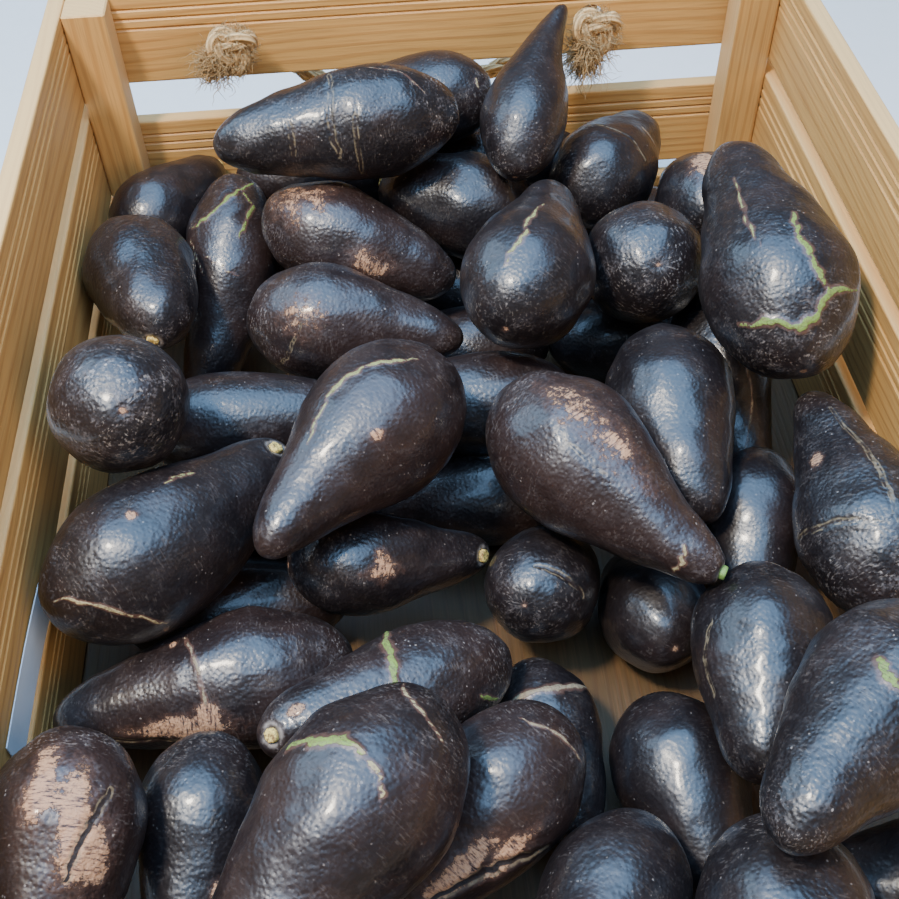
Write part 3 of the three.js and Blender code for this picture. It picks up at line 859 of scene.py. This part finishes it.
# How silvery and scuffed a fruit is, from 0 to 1, where it isn't middling.
WEAR = {1: 0.3, 2: 0.8, 4: 0.85, 8: 0.75, 9: 0.35, 10: 0.7, 11: 0.35, 14: 0.8, 15: 0.75, 16: 0.4,
        18: 0.75, 19: 1.0, 28: 0.2, 29: 0.7, 30: 0.9, 34: 0.8, 37: 0.25, 39: 0.9, 40: 1.0,
        41: 0.25, 45: 0.6}
MIDDLING_WEAR = 0.5
# How brown a fruit is, where it isn't the usual blue-black.
TONE = {3: 0.18, 8: 0.25, 10: 0.2, 18: 0.28, 22: 0.22, 29: 0.2, 30: 0.15, 31: 0.12, 32: 0.2,
        34: 0.25}
# Fruit that have lost their stem stub, with a smooth closed tip.
BARE_TIPS = {4, 6, 8, 10, 15, 16, 22, 29, 31, 32, 33, 34, 35, 37, 38, 39, 40, 44, 45}


class Fruit:
    """The smooth shape behind one avocado's CAD solid, read back from its rings."""

    def __init__(self, node):
        solid = welded_solid(node)
        poles = [v for v in solid.verts if len(v.link_edges) == SIDES]
        rings = self.walk(poles[0])
        if self.reach(rings[1]) < self.reach(rings[-3]):
            poles.reverse()
            rings = self.walk(poles[0])
        rings = rings[:-1]
        ends = [np.array(p.co) for p in poles]
        middles = [np.mean([v.co for v in ring], axis=0) for ring in rings]
        radii = [self.reach(ring) for ring in rings]
        # Each ring is flat and square to the axis.
        flat = np.array([v.co for v in rings[3]]) - middles[3]
        axis = np.linalg.svd(flat)[2][2]
        self.axis = axis * math.copysign(1, axis @ (ends[1] - ends[0]))
        self.up = np.array([0, 0, 1.0]) - self.axis * self.axis[2]
        self.up /= np.linalg.norm(self.up)
        self.side = np.cross(self.axis, self.up)
        self.length = self.axis @ (ends[1] - ends[0])
        solid.free()
        # Waves through the rings give the middle line and the radius between them.
        count = len(rings)
        inner = math.pi * np.arange(1, count + 1) / (count + 1)
        every = math.pi * np.arange(count + 2) / (count + 1)
        self.radius_order = np.arange(1, count + 1)
        self.middle_order = np.arange(count + 2)
        self.radius_waves = np.linalg.solve(np.sin(np.outer(inner, self.radius_order)), radii)
        self.middle_waves = np.linalg.solve(np.cos(np.outer(every, self.middle_order)),
                                            np.array([ends[0], *middles, ends[1]]))

    @staticmethod
    def walk(pole):
        """Rings of vertices from one pole to the other."""
        rings, seen, edge = [], {pole}, {pole}
        while edge:
            edge = {e.other_vert(v) for v in edge for e in v.link_edges} - seen
            seen |= edge
            if edge:
                rings.append(list(edge))
        return rings

    @staticmethod
    def reach(ring):
        places = np.array([v.co for v in ring])
        return np.linalg.norm(places - places.mean(0), axis=1).mean()

    def skin(self, u, turn):
        """Points on the skin and the directions out of it, at shares u and angles in radians."""
        u, turn = np.broadcast_arrays(np.asarray(u, float), np.asarray(turn, float))
        pace = 1e-4

        def at(phi, angle):
            middle = np.cos(phi[..., None] * self.middle_order) @ self.middle_waves
            radius = np.sin(phi[..., None] * self.radius_order) @ self.radius_waves
            ray = np.cos(angle)[..., None] * self.up + np.sin(angle)[..., None] * self.side
            return middle + radius[..., None] * ray, ray

        phi = np.clip(np.arccos(np.clip(1 - 2 * u, -1, 1)), 0.002, math.pi - 0.002)
        point, ray = at(phi, turn)
        ahead = at(phi + pace, turn)[0] - point
        round_it = at(phi, turn + pace)[0] - point
        out = np.cross(ahead, round_it)
        out /= np.linalg.norm(out, axis=-1)[..., None]
        out *= np.where((out * ray).sum(-1) < 0, -1, 1)[..., None]
        return point, out


def line_mark(fruit, points, rng, width, places):
    """A line through the places, with a slight wander: how far each point is from it, and where
    along it."""
    route = smooth_route([(u, turn / 180, 0) for u, turn in places], MARK_STEPS)[:, :2]
    wander = np.array([[rng.gauss(0, 1) for _ in range(2)] for _ in route])
    wander = (wander + np.roll(wander, 1, axis=0)) / 2
    route = route + wander * MARK_WANDER * width ** 0.5
    return distance_to_route(points, fruit.skin(route[:, 0], route[:, 1] * math.pi)[0])


def distance_to_route(points, route):
    """How far each point is from a route of short straight stretches, and where along it."""
    nearest = np.full(len(points), 1.0)
    where = np.zeros(len(points))
    for i, (a, b) in enumerate(zip(route, route[1:])):
        run = b - a
        share = np.clip((points - a) @ run / max(run @ run, 1e-12), 0, 1)
        gap = np.linalg.norm(points - a - share[:, None] * run, axis=1)
        closer = gap < nearest
        nearest[closer] = gap[closer]
        where[closer] = (i + share[closer]) / (len(route) - 1)
    return nearest, where


def lumps(points, rng):
    """A gentle unevenness, as a sum of waves in many directions."""
    height = np.zeros(len(points))
    for size, depth in LUMPS:
        for _ in range(9):
            beat = points @ random_direction(rng) * 2 * math.pi / (size * rng.uniform(0.7, 1.4))
            height += depth / 3 * np.sin(beat + rng.uniform(0, 2 * math.pi))
    return height


def grid_faces(rows, columns):
    """Quads between the rows, and a fan at each pole. Vertex 0 and the last are the poles."""
    faces = []
    last = rows * columns + 1
    for i in range(columns):
        j = (i + 1) % columns
        faces.append((0, 1 + j, 1 + i))
        faces.append((last, last - columns + i, last - columns + j))
        for row in range(rows - 1):
            start = 1 + row * columns
            faces.append((start + i, start + j, start + columns + j, start + columns + i))
    return faces


def make_avocado(node, skin, stem_kinds):
    rng = random.Random(node)
    number = int(node[-2:])
    fruit = Fruit(node)
    rows, columns = (FINE_ROWS, FINE_COLUMNS) if number in MARKS else (PLAIN_ROWS, PLAIN_COLUMNS)
    phi = math.pi * np.arange(1, rows + 1) / (rows + 1)
    u = np.concatenate([[0], np.repeat((1 - np.cos(phi)) / 2, columns), [1]])
    angles = 2 * math.pi * np.arange(columns) / columns
    turn = np.concatenate([[0], np.tile(angles, rows), [0]])
    points, out = fruit.skin(u, turn)
    out[0], out[-1] = -fruit.axis, fruit.axis
    points[0] = fruit.middle_waves.sum(0)
    points[-1] = ((-1.0) ** fruit.middle_order) @ fruit.middle_waves
    fields = {name: np.full(len(points), value) for name, value in CLEAR_SKIN.items()}
    height, stems = mark_skin(number, fruit, fields, points, rng)
    fields["tip"] = bell(u / 0.17) + 0.6 * bell((1 - u) / 0.10)
    fields["wear"] = np.full(len(points), WEAR.get(number, MIDDLING_WEAR))
    fields["tone"] = np.full(len(points), TONE.get(number, 0.0))
    # Places for patterns that run round the fruit (band) and across it in rungs.
    for name, along, round_it in (("band", 1.0, 0.006), ("rung", 1100.0, 7.0)):
        where = np.stack([along * u * fruit.length, round_it * np.cos(turn),
                          round_it * np.sin(turn)], axis=1)
        fields[name] = where + rng.uniform(0, 5)
    piece = new_object(f"{node}_fruit", points + out * height[:, None], grid_faces(rows, columns))
    for name, values in fields.items():
        set_values(piece.data, name, values)
    finish_piece(piece, skin, "avocado_skin", node)
    for place, kind in stems:
        make_stem(f"{node}_stem", fruit, place, rng, stem_kinds[kind])


def mark_skin(number, fruit, fields, points, rng):
    """Stores a fruit's marks in the fields. Returns its relief, and its stems as (place, kind)."""
    height = lumps(points, rng) - SKIN_INSET
    stems = []
    for kind, *details in MARKS.get(number, []):
        if kind == "crack":
            height += crack_mark(fruit, fields, points, rng, *details)
        elif kind == "crease":
            height += crease_mark(fruit, fields, points, rng, *details)
        elif kind in SCAB_STRENGTH:
            height += scab_mark(fruit, fields, points, SCAB_STRENGTH[kind], *details)
        else:
            stems.append((details[0], kind))
    if not stems and number not in BARE_TIPS:
        stems.append((USUAL_STEM, "stem"))
    for place, _ in stems:
        height += stem_pit(fruit, fields, points, place)
    return height + blossom_scar(points, fields), stems


def bell(x):
    """1 at 0, and falling off to 0 on either side."""
    return np.exp(-x ** 2)


def taper(where, power):
    """Close to 0 at both ends of a line and 1 at its middle."""
    return np.sin(math.pi * np.clip(where, 0.03, 0.97)) ** power


def crack_mark(fruit, fields, points, rng, width, tint, places):
    """A healed crack: a raised welt that tapers off at both ends."""
    gap, where = line_mark(fruit, points, rng, width, places)
    half = width * MM / 2 * (0.35 + 0.60 * taper(where, 0.6))
    beat = rng.uniform(0, 6)
    half = half * (1 + 0.22 * np.sin(19 * where + beat) + 0.14 * np.sin(43 * where + 2 * beat))
    level = 1 - gap / half
    closer = level > fields["crack"]
    fields["crack"][closer] = np.maximum(level[closer], UNMARKED)
    fields["tint"][closer] = tint
    moat = bell((gap - 2.0 * half) / half)
    return WELT_HEIGHT * width * MM * bell(gap / half) - MOAT_DEPTH * width * MM * moat


def crease_mark(fruit, fields, points, rng, width, places):
    """A sunken crease between two low lips."""
    gap, where = line_mark(fruit, points, rng, width, places)
    half = width * MM / 2 * (0.5 + 0.6 * taper(where, 0.5))
    fields["crease"] = np.maximum(fields["crease"], 1 - gap / half)
    lips = bell((gap - 1.9 * half) / (0.9 * half))
    return LIP_HEIGHT * width * MM * lips - CREASE_DEPTH * width * MM * bell(gap / half)


def scab_mark(fruit, fields, points, strength, length, breadth, place):
    """A corky patch, long in the direction of the fruit's length."""
    centre, out = fruit.skin(place[0], math.radians(place[1]))
    ahead = fruit.axis - out * (fruit.axis @ out)
    ahead /= np.linalg.norm(ahead)
    aside = np.cross(out, ahead)
    away = points - centre
    along = away @ ahead / (length * SCAB_SPREAD / 2)
    across = away @ aside / (breadth * SCAB_SPREAD / 2)
    under = away @ out / (breadth * MM)
    level = 1 - np.sqrt(along ** 2 + across ** 2 + under ** 2)
    # Outside its edge every scab fades at the same rate, whatever its strength.
    shown = np.where(level > 0, strength, SCAB_STRENGTH["scab"]) * level
    fields["scab"] = np.maximum(fields["scab"], shown)
    return SCAB_HEIGHT * strength * np.clip(level * 2, 0, 1)


def stem_pit(fruit, fields, points, place):
    """A shallow pit with a rounded pale rim, where the stem grows out."""
    centre = fruit.skin(place[0], math.radians(place[1]))[0]
    gap = np.linalg.norm(points - centre, axis=1) / MM
    fields["rim"] = np.maximum(fields["rim"], 0.6 * bell((gap - 4.3) / 0.8))
    return (0.4 * bell((gap - 6.0) / 2.2) - 1.6 * bell(gap / 3.4)) * MM


def blossom_scar(points, fields):
    """A small dimple with a scar at the blossom end."""
    gap = np.linalg.norm(points - points[0], axis=1) / MM
    fields["scab"] = np.maximum(fields["scab"], 1.1 - gap / 1.6)
    return -0.5 * bell(gap / 3.0) * MM


def make_stem(name, fruit, place, rng, material):
    """The woody end of the stem, a short uneven plug that fills most of its pit."""
    centre, out = fruit.skin(place[0], math.radians(place[1]))
    side = np.cross(out, (0.3, 0.2, 1.0))
    side /= np.linalg.norm(side)
    other = np.cross(out, side)
    wobble = [rng.uniform(0.86, 1.12) for _ in range(STEM_SIDES)]
    vertices = []
    for radius, height in STEM_PROFILE:
        for i in range(STEM_SIDES):
            angle = 2 * math.pi * i / STEM_SIDES
            ray = (math.cos(angle) * side + math.sin(angle) * other) * radius * wobble[i]
            vertices.append(centre + (ray + out * height) * MM)
    stem = new_object(name, vertices, stack_faces(0, len(STEM_PROFILE), STEM_SIDES))
    finish_piece(stem, material, "avocado_skin")


def make_buried(node, skin):
    """The joined fruit below: the CAD solid, rounded off but kept sharp where fruit meet."""
    solid = welded_solid(node)
    bmesh.ops.join_triangles(solid, faces=solid.faces, angle_face_threshold=math.radians(25),
                             angle_shape_threshold=math.radians(60))
    crease = solid.edges.layers.float.new("crease_edge")
    for edge in solid.edges:
        if len(edge.link_faces) == 2 and edge.calc_face_angle_signed(0) < SHARP_VALLEY:
            edge[crease] = 1.0
    mesh = bpy.data.meshes.new(f"{node}_fruit")
    solid.to_mesh(mesh)
    solid.free()
    piece = add_object(f"{node}_fruit", mesh)
    rounding = piece.modifiers.new("rounding", "SUBSURF")
    rounding.levels = 2
    rounding.render_levels = 2
    apply_modifiers(piece)
    piece.data.polygons.foreach_set("use_smooth", [True] * len(piece.data.polygons))
    count = len(piece.data.vertices)
    for name, value in {**CLEAR_SKIN, "wear": 0.6, "tone": 0.1, "tip": 0.4}.items():
        set_values(piece.data, name, np.full(count, value))
    for name in ("band", "rung"):
        set_values(piece.data, name, np.zeros((count, 3)))
    finish_piece(piece, skin, "avocado_skin", node)


# ---------------------------------------------------------------- floor and light
FLOOR_SIZE = 40.0
SKY_COLOUR = (0.50, 0.50, 0.52)
SKY_STRENGTH = 0.30
# Each light: name, place, where it points, size, power in watts, colour.
LIGHTS = [
    ("overhead", (-0.15, 0.05, 1.50), (0.0, 0.05, 0.1), 2.0, 74.0, (0.31, 0.59, 1.0)),
    ("window", (-1.15, 0.70, 0.95), (0.0, 0.0, 0.1), 0.8, 10.0, (0.45, 0.70, 1.0)),
    ("lamp", (-0.45, -0.25, 1.20), (0.0, 0.0, 0.1), 0.15, 21.0, (1.0, 0.86, 0.66)),
    ("fill", (1.1, -1.3, 1.0), (0.0, 0.0, 0.1), 1.8, 27.0, (1.0, 0.74, 0.46)),
]
# Lights that brighten the wood but don't show as a patch on the dark skins.
UNREFLECTED = {"fill"}


def make_setting():
    span = FLOOR_SIZE / 2
    floor = new_object("floor", [(-span, -span, 0), (span, -span, 0), (span, span, 0),
                                 (-span, span, 0)], [(0, 1, 2, 3)], smooth=False)
    floor.data.materials.append(plain_material("pale_floor", FLOOR_PALE, 0.85, mottle=0.005))
    for name, place, target, size, power, colour in LIGHTS:
        lamp = bpy.data.lights.new(name, "AREA")
        lamp.shape = "DISK"
        lamp.size = size
        lamp.energy = power
        lamp.color = colour
        holder = add_object(name, lamp)
        holder.visible_glossy = name not in UNREFLECTED
        holder.location = place
        aim = Vector(target) - Vector(place)
        holder.rotation_euler = aim.to_track_quat("-Z", "Y").to_euler()
    world = bpy.data.worlds.new("sky")
    world.use_nodes = True
    background = world.node_tree.nodes["Background"]
    background.inputs["Color"].default_value = (*SKY_COLOUR, 1)
    background.inputs["Strength"].default_value = SKY_STRENGTH
    bpy.context.scene.world = world


# ---------------------------------------------------------------- the whole scene
def build():
    make_camera()
    jute = jute_material()
    make_rope_handle("back", 1, jute)
    make_rope_handle("front", -1, jute)
    make_crate(pine_material("pine"), pine_material("pine_panel_painted_shade", PANEL_PAINTED_SHADE),
               plain_material("nail_steel", NAIL_GREY, 0.45, 0.9))
    make_card(plain_material("card", CARD_WHITE, 0.6, mottle=0.02))
    skin = skin_material()
    stem_kinds = {"stem": stem_material(),
                  "green stem": plain_material("green_stem", STEM_GREEN, 0.6)}
    for node in sorted(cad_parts):
        if node.startswith("avocado_"):
            make_avocado(node, skin, stem_kinds)
        elif node.startswith("buried_"):
            make_buried(node, skin)
    make_setting()


build()
